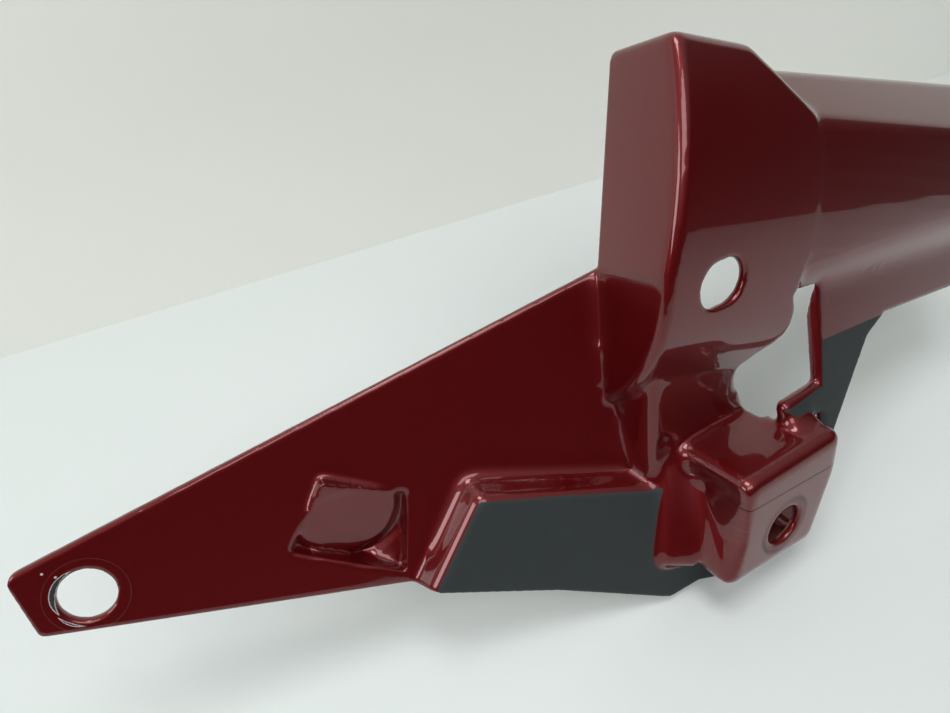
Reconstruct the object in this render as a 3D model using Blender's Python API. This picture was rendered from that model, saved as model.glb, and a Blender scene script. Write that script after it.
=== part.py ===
# Side fairing panel of a motorcycle: one thin-walled moulding.
# It is laid out in its moulding frame: X runs along the arm, Z runs up the tower, and the
# outer side faces -Y. Depths are counted outwards from the face of the arm.
# Each relief is a convex block given by its faces. A core, one wall in from the faces of the
# block and open behind, is cut out of it, which leaves a shell of even wall.
# At the end the moulding is turned to the attitude in which it stands.

import math

import bmesh
import bpy
from mathutils import Matrix, Vector

for old in list(bpy.data.objects):
    bpy.data.objects.remove(old, do_unlink=True)

# Driving dimensions, in metres and degrees

WALL = 0.0028                 # moulded wall
EDGE = 0.0038                 # set-back of the rounded outer edges
STEP_EDGE = 0.0022            # set-back of the plateau's edges
REACH = 0.014                 # how far an open core reaches past its block
SMOOTH_UP_TO = 33.0           # facets that meet at less are one rounded surface
LEAN_BACK = 28.0              # lean of the arm plate, top away from the viewer
NOSE_TILT = 17.0              # turn of the arm in its own plane

# Arm: a flat tapering plate with a grommet hole near its tip
ARM_TIP_TOP = (-0.0170, 0.0065)
ARM_TIP_FOOT = (-0.0106, -0.0095)
ARM_TOP_SLOPE = 25.4
ARM_END = 0.1560              # the plate runs on behind the plateau up to here
ARM_FOOT_END = 0.0025         # heights of its hidden end
ARM_HEAD_END = 0.0480
ARM_TOP_CORNER = 0.0030       # radii at its tip
ARM_FOOT_CORNER = 0.0018
GROMMET_HOLE = 0.0130

# Pad: a tilted square pressed into the arm, one corner proud and one sunk
PAD_CORNERS = ((0.0547, 0.0238), (0.0780, 0.0172), (0.0782, -0.0062), (0.0466, 0.0040))
PAD_HINGE = ((0.0741, 0.0167), (0.0509, 0.0108))
PAD_TILT = 17.0
PAD_LIP = 0.0003
DISC_PLACE = (0.0621, 0.0129) # middle of the pad's round floor
DISC_RADIUS = 0.0136
TRENCH_DEPTH = 0.0010         # groove round the floor, which leaves more than half the wall

# Plateau: the raised mating face along the lower edge
PLATEAU_DEPTH = 0.0080
STEP_FOOT = (0.0795, -0.0095)
STEP_HEAD = (0.0935, 0.0203)
STEP_FALL = 0.060             # fall of the step's upper edge along X
STEP_DRAFT = 24.0
PLATEAU_FOOT = 0.0232         # depth of the outline below the grommet hole
PLATEAU_FOOT_X = 0.1587
PLATEAU_END = 0.1765
FOOT_EDGE = ((-0.0375, 0.0085), (-0.0012, 0.0004), (0.0013, 0.0), (0.0113, 0.0040))

# Tower: a deep box with a bowed front that curls in at its foot
TOWER_X = 0.1315
TOWER_TOP = 0.1348             # height of its top at the left edge
TOWER_TOP_RISE = 2.0
TOWER_LAP = 0.0009            # how far its rim reaches behind the face of the arm
TOWER_DEPTH = 0.0317          # depth at the middle of the bow
TOWER_DRAFT = 5.0
TOWER_FOOT_LEAN = 6.8         # lean of the lower half of its left wall
TOWER_LEAN_Z = 0.0780
FRONT_YAW = 13.0              # the front turns away towards the body
FRONT_APEX_X = 0.1342
BOW_RADIUS = 0.1160
BOW_Z = 0.0960
BOW_START = 20.0              # tilt of the front at its upper end
BOW_FACETS = 12
CURL_FACETS = 16
CURL_RADIUS = 0.0400
CURL_START = 15.0
CURL_END = 74.0
SHOULDER_LOW = (0.1880, 0.1212)
SHOULDER_HIGH = (0.1700, 0.1312)
TAB_X = 0.1860                # free edge of the tab beside the window

# Body: a channel that runs on behind the tower
BODY_START = 0.1500
BODY_END = 0.3000
BAND_FRONT_Z = 0.1186         # upper end of the front, at the tower
BAND_RISE = 2.2               # rise of the band's lower edge along the rail
RIDGE_RISE = 5.2              # rise of the ridge above it
BAND_SLOPE = 42.0             # how far the top band faces up
RIDGE_Z = 0.1342              # top of the ridge, at the tower
LEDGE_TOP_Z = 0.0778
LEDGE_RISE = 9.8              # rise of the ledge's upper edge along the rail
FOOT_RISE = 8.9               # rise of its foot
LEDGE_HEIGHT = 0.0062
LEDGE_SET_BACK = 0.0034
LEDGE_TILT = 10.0             # tilt of the front just above the ledge
RAIL_FACETS = 7
RAIL_SET_BACK = 0.00015       # the rail's front lies this far behind the tower's

# Window between the tab, the neck and the side plate: its rim as points of the outline
WINDOW_TAB = ((0.0, 0.0716), (0.0, 0.0660), (-0.0009, 0.0625), (-0.0030, 0.0592), (-0.0066, 0.0570))
WINDOW_NECK = ((0.1772, 0.0500), (0.1768, 0.0465), (0.1783, 0.0425), (0.1816, 0.0385), (0.1850, 0.0335))
WINDOW_PLATE = ((0.0001, 0.0450), (0.0028, 0.0500), (0.0028, 0.0722))
NECK_CLEAR = 0.0002           # the neck's walls end this far inside the rim

# Side plate: the flange below the ledge and right of the window
PLATE_LEAN = 5.4              # lean of its face, foot towards the viewer
PLATE_STEP = 0.0003           # its face stands this far in front of the ledge's foot
PLATE_TIP_LEAN = 7.5
PLATE_RIM_DEPTH = 0.0037
PLATE_LAP = 0.0031            # how far it runs up behind the ledge
RIM_HIGH = (0.1972, 0.0696)
RIM_LOW = (0.2016, 0.0440)
TIP_X = 0.1840
TIP_Z = 0.0392
STRIP_FOOT = (0.2366, 0.0635)
STRIP_RISE = 9.6
PLATE_EDGE = ((-0.0093, -0.0069), (-0.0123, -0.0121), (-0.0251, -0.0348), (-0.0320, -0.0532),
              (-0.0370, -0.0550))      # free edge below the strip, from its foot

# Lug: a deep box with the fixing hole, turned on its own axes
LUG_FOOT = (0.1571, -0.0080, 0.0267)
LUG_YAW = 9.9
LUG_ROLL = 16.9
LUG_PITCH = 12.5
LUG_WIDTH = 0.0412
LUG_DEPTH = 0.0260
LUG_HEIGHT = 0.0372
LUG_TAPER = 17.0
LUG_FLOOR_SLOPE = 4.0
LUG_SIDE_LEAN = 7.5
LUG_SHOULDER = 0.0150          # where the right wall starts to taper, below the lug's top
BEAD_X = 0.1532                # rounded bead along the foot of the lug's left wall
BEAD_DEPTH = 0.0135
BEAD_FOOT = 0.0122
BEAD_TOP = 0.0255
BEAD_WIDTH = 0.0105
LUG_HOLE = 0.0130
LUG_HOLE_PLACE = (0.0180, -0.0240)
NECK_WIDTH = 0.0290
NECK_SIDE = 0.0095
NECK_DRAFT = 11.3
NECK_FOOT = 0.0120
NECK_TOP = 0.0560             # the neck ends inside the tower's hollow
SHELF_HEIGHT = 0.0058
SHELF_BACK = 0.0108
SHELF_FRONT = 0.0205
SHELF_SET_BACK = 0.0016

# Slotted hole in the tab
SLOT_PLACE = (0.1552, 0.0751)
SLOT_WIDTH = 0.0128
SLOT_LENGTH = 0.0160


# Directions and points

def turned(degrees):
    """Outward direction of the front at a given tilt, positive facing up."""
    level = math.cos(math.radians(degrees))
    return Vector((math.sin(yaw) * level, -math.cos(yaw) * level, math.sin(math.radians(degrees))))


def on_front(depth, z, along=0.0):
    """Point at a depth and height, a length along the front from the tower's corner."""
    return Vector((FRONT_APEX_X, -depth, z)) + run * along


def in_outline(point, depth=0.0):
    """Point of the moulding's outline at a depth."""
    return Vector((point[0], -depth, point[1]))


def side_normal(start, end):
    """Direction in the X and Z plane to the left of the way from start to end."""
    way = Vector((end[0] - start[0], 0.0, end[1] - start[1])).normalized()
    return Vector((-way.z, 0.0, way.x))


def in_lug(w, v, h):
    """Point in the lug's own axes: along its width, outwards, and up."""
    return Vector(LUG_FOOT) + lug_w * w + lug_v * v + lug_h * h


yaw = math.radians(FRONT_YAW)
run = Vector((math.cos(yaw), math.sin(yaw), 0.0))
lug_w = Vector((math.cos(math.radians(LUG_YAW)) * math.cos(math.radians(LUG_ROLL)),
                math.sin(math.radians(LUG_YAW)) * math.cos(math.radians(LUG_ROLL)),
                math.sin(math.radians(LUG_ROLL))))
lug_h = Vector((0.0, -math.sin(math.radians(LUG_PITCH)), math.cos(math.radians(LUG_PITCH))))
lug_h = (lug_h - lug_w * lug_h.dot(lug_w)).normalized()
lug_v = lug_w.cross(lug_h)
lug_v = lug_v if lug_v.y < 0.0 else -lug_v


# Blocks and cuts

def link(name, mesh):
    made = bpy.data.objects.new(name, mesh)
    bpy.context.collection.objects.link(made)
    return made


def cut_block(name, faces, edge):
    """A convex solid left of a large cube by cuts along faces: point, normal, kind.

    The kind is True for a wall, False for an open side, and None for a side that ends in
    the hollow of another block.
    """
    bm = bmesh.new()
    bmesh.ops.create_cube(bm, size=1.0)
    for point, normal, wall in faces:
        result = bmesh.ops.bisect_plane(bm, geom=bm.verts[:] + bm.edges[:] + bm.faces[:],
                                        plane_co=point, plane_no=normal, clear_outer=True)
        rim = [item for item in result["geom_cut"] if isinstance(item, bmesh.types.BMEdge)]
        if rim:
            bmesh.ops.edgeloop_fill(bm, edges=rim)
    bmesh.ops.recalc_face_normals(bm, faces=bm.faces)
    walls = set()
    for face in bm.faces:
        match = max(faces, key=lambda item: item[1].normalized().dot(face.normal))
        if match[2]:
            walls.add(face)
    rounded = [side for side in bm.edges
               if len(side.link_faces) == 2 and all(face in walls for face in side.link_faces)
               and side.calc_face_angle(0.0) > math.radians(14.0)]
    if edge > 0.0 and rounded:
        bmesh.ops.bevel(bm, geom=rounded, offset=edge, offset_type='OFFSET', segments=3,
                        profile=0.5, affect='EDGES', clamp_overlap=True)
    mesh = bpy.data.meshes.new(name)
    bm.to_mesh(mesh)
    bm.free()
    return link(name, mesh)


def relief(name, faces, edge):
    """The outer block and its core, which lies one wall in and reaches past open faces."""
    outer = cut_block(name, faces, edge)
    inward = []
    for point, normal, wall in faces:
        step = -WALL if wall else REACH
        step = WALL if wall is None else step
        inward.append((point + normal.normalized() * step, normal, wall))
    core = cut_block(name + "_core", inward, max(edge - WALL, 0.0009))
    return outer, core


def prism(name, outline, front, back):
    """A cutter whose outline lies in X and Z, from one depth to another."""
    bm = bmesh.new()
    loop = [bm.verts.new((x, -front, z)) for x, z in outline]
    face = bm.faces.new(loop)
    grown = bmesh.ops.extrude_face_region(bm, geom=[face])
    moved = [item for item in grown["geom"] if isinstance(item, bmesh.types.BMVert)]
    bmesh.ops.translate(bm, verts=moved, vec=(0.0, front - back, 0.0))
    bmesh.ops.recalc_face_normals(bm, faces=bm.faces)
    mesh = bpy.data.meshes.new(name)
    bm.to_mesh(mesh)
    bm.free()
    return link(name, mesh)


def drill(name, place, axis, diameter, length, stretch=0.0, along=None):
    """A round cutter, or a slot when stretch is given."""
    bm = bmesh.new()
    axis = axis.normalized()
    side = (along or axis.orthogonal()).normalized()
    side = (side - axis * side.dot(axis)).normalized()
    other = axis.cross(side)
    count = 32
    loop = []
    for i in range(count):
        angle = 2.0 * math.pi * (i + 0.5) / count
        offset = math.copysign(0.5 * stretch, math.cos(angle))
        loop.append(place - axis * (0.5 * length) + other * (0.5 * diameter * math.sin(angle))
                    + side * (0.5 * diameter * math.cos(angle) + offset))
    face = bm.faces.new([bm.verts.new(point) for point in loop])
    grown = bmesh.ops.extrude_face_region(bm, geom=[face])
    moved = [item for item in grown["geom"] if isinstance(item, bmesh.types.BMVert)]
    bmesh.ops.translate(bm, verts=moved, vec=axis * length)
    bmesh.ops.recalc_face_normals(bm, faces=bm.faces)
    mesh = bpy.data.meshes.new(name)
    bm.to_mesh(mesh)
    bm.free()
    return link(name, mesh)


def combine(target, tools, operation):
    """Join or cut the target with each tool in turn."""
    for tool in tools:
        step = target.modifiers.new(tool.name, 'BOOLEAN')
        step.operation = operation
        step.object = tool
        evaluated = target.evaluated_get(bpy.context.evaluated_depsgraph_get())
        mesh = bpy.data.meshes.new_from_object(evaluated)
        target.modifiers.clear()
        target.data = mesh
        bpy.data.objects.remove(tool, do_unlink=True)
    return target


# Tower: left wall, top, shoulder, bow and curl

bow_centre = on_front(TOWER_DEPTH, BOW_Z) - turned(0.0) * BOW_RADIUS
curl_centre = bow_centre + turned(-CURL_START) * (BOW_RADIUS - CURL_RADIUS)
left = Vector((-math.cos(math.radians(TOWER_DRAFT)), -math.sin(math.radians(TOWER_DRAFT)), 0.0))
lower_left = (left - Vector((0.0, 0.0, math.tan(math.radians(TOWER_FOOT_LEAN))))).normalized()
top_rise = math.radians(TOWER_TOP_RISE)
front_back = on_front(-TOWER_LAP, 0.0)
tower_faces = [
    (Vector((TOWER_X, 0.0, TOWER_LEAN_Z)), left, True),
    (Vector((TOWER_X, 0.0, TOWER_LEAN_Z)), lower_left, True),
    (Vector((TOWER_X, 0.0, TOWER_TOP)), Vector((-math.sin(top_rise), 0.0, math.cos(top_rise))), True),
    (in_outline(SHOULDER_LOW), side_normal(SHOULDER_HIGH, SHOULDER_LOW), True),
    (Vector((TAB_X + 0.0010, 0.0, 0.0)), Vector((1.0, 0.0, 0.0)), False),
    (front_back, -turned(0.0), False),
]
for i in range(BOW_FACETS):
    tilt = BOW_START - (BOW_START + CURL_START) * (i + 0.5) / BOW_FACETS
    tower_faces.append((bow_centre + turned(tilt) * BOW_RADIUS, turned(tilt), True))
for i in range(CURL_FACETS):
    tilt = -CURL_START - (CURL_END - CURL_START) * (i + 0.5) / CURL_FACETS
    tower_faces.append((curl_centre + turned(tilt) * CURL_RADIUS, turned(tilt), True))
tower = relief("tower", tower_faces, EDGE)

# Body: front, top band, ledge and open underside

rise = math.radians(BAND_RISE)
band_run = (run * math.cos(rise) + Vector((0.0, 0.0, math.sin(rise)))).normalized()
lift = math.radians(RIDGE_RISE)
ridge_run = run * math.cos(lift) + Vector((0.0, 0.0, math.sin(lift)))
fall = math.radians(LEDGE_RISE)
ledge_run = (run * math.cos(fall) + Vector((0.0, 0.0, math.sin(fall)))).normalized()
foot_lift = math.radians(FOOT_RISE)
foot_run = run * math.cos(foot_lift) + Vector((0.0, 0.0, math.sin(foot_lift)))


def across(direction, way):
    """The part of a direction that is square to a way."""
    return (direction - way * direction.dot(way)).normalized()


corner_run = (SHOULDER_LOW[0] - FRONT_APEX_X) / math.cos(yaw)
ledge_corner = (TAB_X - FRONT_APEX_X) / math.cos(yaw)
band_tilt = math.asin((BAND_FRONT_Z - BOW_Z) / BOW_RADIUS)
band_tilt_degrees = math.degrees(band_tilt)
band_point = (bow_centre + turned(band_tilt_degrees) * BOW_RADIUS) + run * corner_run
band_height = RIDGE_Z - BAND_FRONT_Z
ledge_point = on_front(TOWER_DEPTH - 0.0012, LEDGE_TOP_Z, ledge_corner)
ledge_foot = ledge_point + turned(0.0) * -LEDGE_SET_BACK - Vector((0.0, 0.0, LEDGE_HEIGHT))
ledge_tilt = -math.degrees(math.atan2(LEDGE_SET_BACK, LEDGE_HEIGHT))
body_faces = [
    (on_front(0.0, 0.0, (BODY_START - FRONT_APEX_X) / math.cos(yaw)), -run, False),
    (Vector((BODY_END + 0.004, 0.0, 0.0)), Vector((1.0, 0.0, 0.0)), False),
    (on_front(0.0, 0.0), -turned(0.0), False),
    (band_point, across(turned(BAND_SLOPE), band_run), True),
    (band_point + Vector((0.0, 0.0, band_height)), across(Vector((0.0, 0.0, 1.0)), ridge_run), True),
    (ledge_point, across(turned(ledge_tilt), ledge_run), True),
    (ledge_foot, across(Vector((0.0, 0.0, -1.0)), foot_run), False),
]
for i in range(RAIL_FACETS):
    tilt = band_tilt_degrees - (band_tilt_degrees + LEDGE_TILT) * (i + 0.5) / RAIL_FACETS
    body_faces.append((bow_centre + turned(tilt) * (BOW_RADIUS - RAIL_SET_BACK), turned(tilt), True))
body = relief("body", body_faces, EDGE)

# Side plate: two blocks that meet at the inner corner of the window's rim

plate_normal = turned(PLATE_LEAN)
plate_point = ledge_foot + plate_normal * PLATE_STEP
plate_back = plate_point - plate_normal * PLATE_RIM_DEPTH
plate_top = ledge_foot + Vector((0.0, 0.0, PLATE_LAP))
upper_plate_faces = [
    (plate_point, plate_normal, True),
    (plate_back, -plate_normal, False),
    (in_outline(RIM_HIGH), -side_normal(RIM_HIGH, RIM_LOW), True),
    (plate_top, across(Vector((0.0, 0.0, 1.0)), foot_run), False),
    (Vector((BODY_END + 0.006, 0.0, 0.0)), Vector((1.0, 0.0, 0.0)), False),
    (Vector((0.0, 0.0, -0.01)), Vector((0.0, 0.0, -1.0)), False),
]
upper_plate = relief("upper_plate", upper_plate_faces, STEP_EDGE)
tip = (TIP_X, TIP_Z)
corner = on_front(0.0, RIM_LOW[1], (RIM_LOW[0] - FRONT_APEX_X) / math.cos(yaw))
corner -= turned(0.0) * ((corner - plate_point).dot(plate_normal) / math.cos(math.radians(PLATE_LEAN)))
tip_normal = turned(PLATE_TIP_LEAN)
lower_plate_faces = [
    (corner, tip_normal, True),
    (corner - tip_normal * (PLATE_RIM_DEPTH + 0.0004), -tip_normal, False),
    (in_outline(RIM_LOW), side_normal(tip, RIM_LOW), True),
    (in_lug(NECK_WIDTH - 0.0005, 0.0, 0.0), -lug_w, True),
    (Vector((RIM_LOW[0] + 0.012, 0.0, 0.0)), Vector((1.0, 0.0, 0.0)), False),
    (in_lug(NECK_WIDTH, 0.0, -0.5 * WALL), -lug_h, False),
]
lower_plate = relief("lower_plate", lower_plate_faces, STEP_EDGE)

# Plateau, with its two drafted steps

draft = math.radians(STEP_DRAFT)
outwards = Vector((0.0, -1.0, 0.0))
step_left = side_normal(STEP_FOOT, STEP_HEAD)
step_end = (PLATEAU_END, STEP_HEAD[1] - STEP_FALL * (PLATEAU_END - STEP_HEAD[0]))
step_top = side_normal(STEP_HEAD, step_end)
plateau_faces = [
    (Vector((0.0, -PLATEAU_DEPTH, 0.0)), outwards, True),
    (in_outline(STEP_FOOT), (step_left * math.cos(draft) + outwards * math.sin(draft)), True),
    (in_outline(STEP_HEAD), (step_top * math.cos(draft) + outwards * math.sin(draft)), True),
    (Vector((0.0, 0.5 * WALL, 0.0)), -outwards, False),
    (Vector((PLATEAU_END, 0.0, 0.0)), Vector((1.0, 0.0, 0.0)), False),
    (Vector((0.0, 0.0, -0.04)), Vector((0.0, 0.0, -1.0)), False),
]
plateau = relief("plateau", plateau_faces, STEP_EDGE)

# Neck, which carries the plateau up behind the tab, and the lug in front of it

neck_faces = [
    (in_lug(0.0, 0.0, 0.0), lug_v, True),
    (in_lug(-NECK_SIDE, 0.0, 0.0), (lug_v * math.tan(math.radians(NECK_DRAFT)) - lug_w).normalized(), True),
    (in_lug(NECK_WIDTH, 0.0, 0.0), lug_w, False),
    (Vector((0.0, 0.3 * WALL, 0.0)), -outwards, False),
    (in_lug(0.0, 0.0, -NECK_FOOT), -lug_h, False),
    (Vector((0.0, 0.0, NECK_TOP)), Vector((0.0, 0.0, 1.0)), None),
]
neck = relief("neck", neck_faces, STEP_EDGE)

taper = math.radians(LUG_TAPER)
slope = math.radians(LUG_FLOOR_SLOPE)
lug_faces = [
    (in_lug(0.0, LUG_DEPTH, 0.0), lug_v, True),
    (in_lug(0.0, 0.0, 0.0), lug_h, True),
    (in_lug(0.0, 0.0, 0.0), lug_h * math.tan(math.radians(LUG_SIDE_LEAN)) - lug_w, True),
    (in_lug(LUG_WIDTH, 0.0, 0.0), lug_w, True),
    (in_lug(LUG_WIDTH, 0.0, -LUG_SHOULDER), (lug_w * math.cos(taper) - lug_h * math.sin(taper)), True),
    (in_lug(0.0, 0.0, -LUG_HEIGHT), -(lug_w * math.sin(slope) + lug_h * math.cos(slope)), True),
    (in_lug(0.0, -WALL, 0.0), -lug_v, False),
]
lug = relief("lug", lug_faces, EDGE)

bead_faces = [
    (Vector((BEAD_X, -PLATEAU_DEPTH, 0.0)), Vector((-1.0, -0.15, 0.0)), True),
    (Vector((BEAD_X, -BEAD_DEPTH, 0.0)), Vector((-0.25, -1.0, -0.12)), True),
    (Vector((0.0, 0.0, -BEAD_FOOT)), Vector((0.0, -0.1, -1.0)), True),
    (Vector((BEAD_X + BEAD_WIDTH, 0.0, 0.0)), Vector((1.0, 0.0, 0.0)), None),
    (Vector((0.0, -PLATEAU_DEPTH, BEAD_TOP)), Vector((0.0, -0.6, 0.8)), True),
    (Vector((0.0, -0.4 * PLATEAU_DEPTH, 0.0)), -outwards, False),
]
bead = relief("bead", bead_faces, STEP_EDGE)

# Shelf: a low ramp between the rim's tip and the lug's top corner

shelf_faces = [
    (in_lug(NECK_WIDTH, SHELF_FRONT, 0.0),
     (lug_v * 0.55 + lug_h * 0.75 + lug_w * 0.05).normalized(), True),
    (in_lug(NECK_WIDTH, 0.0, 0.0), -lug_w, True),
    (in_lug(NECK_WIDTH, 0.0, SHELF_HEIGHT), (lug_h + lug_w * 0.45).normalized(), True),
    (in_lug(LUG_WIDTH - SHELF_SET_BACK, 0.0, 0.0), lug_w, True),
    (in_lug(0.0, SHELF_BACK, 0.0), -lug_v, True),
    (in_lug(0.0, 0.0, -0.5 * WALL), -lug_h, False),
]
shelf = relief("shelf", shelf_faces, 0.0012)

# Arm plate with the pad

def rounded_corner(before, corner, after, radius, count=5):
    """Points of an arc that rounds an outline's corner."""
    corner = Vector(corner)
    first = (Vector(before) - corner).normalized()
    second = (Vector(after) - corner).normalized()
    half = 0.5 * first.angle(second)
    middle = corner + (first + second).normalized() * (radius / math.sin(half))
    start = corner + first * (radius / math.tan(half)) - middle
    end = corner + second * (radius / math.tan(half)) - middle
    points = []
    for i in range(count):
        share = i / (count - 1.0)
        points.append(tuple(middle + (start * (1.0 - share) + end * share).normalized() * radius))
    return points


arm_x = TOWER_X + WALL
arm_top = (arm_x, ARM_TIP_TOP[1] + (arm_x - ARM_TIP_TOP[0]) * math.tan(math.radians(ARM_TOP_SLOPE)))
arm_foot = (STEP_HEAD[0], ARM_TIP_FOOT[1])
arm_outline = rounded_corner(arm_top, ARM_TIP_TOP, ARM_TIP_FOOT, ARM_TOP_CORNER)
arm_outline += rounded_corner(ARM_TIP_TOP, ARM_TIP_FOOT, arm_foot, ARM_FOOT_CORNER)
arm_outline += [
    arm_foot,
    (ARM_END, ARM_FOOT_END),
    (ARM_END, ARM_HEAD_END),
    arm_top,
]
panel = prism("fairing_panel", arm_outline, 0.0, -WALL)

hinge_a = in_outline(PAD_HINGE[0])
hinge_b = in_outline(PAD_HINGE[1])
hinge = (hinge_a - hinge_b).normalized()
pad_normal = Matrix.Rotation(math.radians(PAD_TILT), 3, hinge) @ outwards
pad_sides = [(in_outline(start), side_normal(start, end), True)
             for start, end in zip(PAD_CORNERS, PAD_CORNERS[1:] + PAD_CORNERS[:1])]
raised_faces = pad_sides + [
    (hinge_a, pad_normal, True),
    (Vector((0.0, 0.5 * WALL, 0.0)), -outwards, False),
]
pit_faces = [(point - normal * PAD_LIP, normal, wall) for point, normal, wall in pad_sides] + [
    (hinge_a - pad_normal * PAD_LIP, -pad_normal, True),
    (Vector((0.0, -0.002, 0.0)), outwards, False),
]


def grown(faces, amount):
    """The faces of a block moved outwards where they are walls."""
    return [(point + normal.normalized() * (amount if wall else 0.0), normal, wall)
            for point, normal, wall in faces]


pit = cut_block("pit", pit_faces, 0.0)
trench = cut_block("trench", [
    (point - normal * (2.0 * PAD_LIP), normal, wall) for point, normal, wall in pad_sides] + [
    (hinge_a - pad_normal * (PAD_LIP + TRENCH_DEPTH), -pad_normal, True),
    (Vector((0.0, -0.001, 0.0)), outwards, False),
], 0.0)
disc_middle = in_outline(DISC_PLACE)
disc_middle -= pad_normal * (disc_middle - hinge_a).dot(pad_normal)
disc = drill("disc", disc_middle, pad_normal, 2.0 * DISC_RADIUS, 20.0 * TRENCH_DEPTH)
combine(trench, [disc], 'DIFFERENCE')
pit_shell = cut_block("pit_shell", grown(pit_faces, WALL), 0.0)
pit_shell_trim = cut_block("pit_trim", [
    (Vector((0.0, 0.5 * WALL, 0.0)), -outwards, True),
    (Vector((0.0, -0.1, 0.0)), outwards, True),
], 0.0)
combine(pit_shell, [pit_shell_trim], 'DIFFERENCE')
raised = cut_block("raised", raised_faces, 0.0)
raised_core = cut_block("raised_core", [
    (point - normal.normalized() * (WALL if wall else -REACH), normal, wall)
    for point, normal, wall in raised_faces], 0.0)

# Free edges are trimmed before the blocks are joined

below = -2.5 * PLATEAU_FOOT
foot_edge = [(STEP_FOOT[0] - 0.02, STEP_FOOT[1]), (STEP_FOOT[0] + 0.004, STEP_FOOT[1])]
foot_edge += [(PLATEAU_FOOT_X + x, z - PLATEAU_FOOT) for x, z in FOOT_EDGE]
foot_edge += [(PLATEAU_END + 0.01, foot_edge[-1][1] + 0.0002), (PLATEAU_END + 0.01, below),
              (STEP_FOOT[0] - 0.02, below)]
foot_trim = prism("foot_trim", foot_edge, 0.05, -0.05)
combine(plateau[0], [foot_trim], 'DIFFERENCE')
far = (STRIP_FOOT[0] + 0.12, STRIP_FOOT[1] + 0.12 * math.tan(math.radians(STRIP_RISE)))
plate_edge = [far, STRIP_FOOT]
plate_edge += [(STRIP_FOOT[0] + x, STRIP_FOOT[1] + z) for x, z in PLATE_EDGE]
plate_edge += [(RIM_LOW[0] - 0.0091, plate_edge[-1][1]), (RIM_LOW[0] - 0.0091, -0.05), (far[0], -0.05)]
plate_trim = prism("plate_trim", plate_edge, 0.05, -0.1)
combine(upper_plate[0], [plate_trim], 'DIFFERENCE')

# Join the blocks and take out the cores

combine(panel, [plateau[0], neck[0], bead[0], lug[0], shelf[0], tower[0], body[0],
                lower_plate[0], upper_plate[0], pit_shell, raised], 'UNION')
combine(panel, [plateau[1], neck[1], bead[1], lug[1], tower[1], body[1],
                lower_plate[1], upper_plate[1], pit, raised_core, trench], 'DIFFERENCE')
bpy.data.objects.remove(shelf[1], do_unlink=True)

# Window, slot and holes

window_rim = [(TAB_X + x, z) for x, z in WINDOW_TAB] + list(WINDOW_NECK)
window_rim += [(TAB_X + x, z) for x, z in WINDOW_PLATE]
window = prism("window", window_rim, 0.05, -0.05)
neck_rim = [(WINDOW_NECK[1][0] + NECK_CLEAR, NECK_TOP + 0.006)]
neck_rim += [(x + NECK_CLEAR, z) for x, z in WINDOW_NECK[1:]]
neck_rim += [(RIM_LOW[0] - 0.0121, 0.0290), (RIM_LOW[0] - 0.0006, 0.0240), (RIM_LOW[0] - 0.0006, NECK_TOP + 0.006)]
neck_end = prism("neck_end", neck_rim, PLATEAU_DEPTH + 0.0015, -0.05)
end_trim = prism("end_trim", [
    (BODY_END, -0.1), (BODY_END + 0.1, -0.1), (BODY_END + 0.1, 0.3), (BODY_END, 0.3),
], 0.1, -0.1)
slot_along = (SLOT_PLACE[0] - FRONT_APEX_X) / math.cos(yaw)
slot = drill("slot", on_front(TOWER_DEPTH, SLOT_PLACE[1], slot_along), turned(-6.0), SLOT_WIDTH, 0.02,
             SLOT_LENGTH - SLOT_WIDTH, lug_w)
lug_hole = drill("lug_hole", in_lug(LUG_HOLE_PLACE[0], LUG_DEPTH, LUG_HOLE_PLACE[1]), lug_v,
                 LUG_HOLE, 0.012)
arm_hole = drill("arm_hole", Vector((0.0, 0.0, 0.0)), outwards, GROMMET_HOLE, 0.02)
combine(panel, [window, neck_end, end_trim, slot, lug_hole, arm_hole], 'DIFFERENCE')

# Attitude in which the moulding stands

panel.data.transform(Matrix.Rotation(math.radians(-LEAN_BACK), 4, 'X')
                     @ Matrix.Rotation(math.radians(NOSE_TILT), 4, 'Y'))

paint = bpy.data.materials.new("candy_red")
paint.use_nodes = True
shader = paint.node_tree.nodes["Principled BSDF"]
shader.inputs["Base Color"].default_value = (0.16, 0.006, 0.014, 1.0)
shader.inputs["Metallic"].default_value = 0.35
shader.inputs["Roughness"].default_value = 0.18
panel.data.materials.clear()
panel.data.materials.append(paint)
panel.data.shade_smooth()
panel.data.set_sharp_from_angle(angle=math.radians(SMOOTH_UP_TO))
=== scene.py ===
import math

import bmesh
import bpy
import numpy as np
from mathutils import Matrix, Vector


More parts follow.
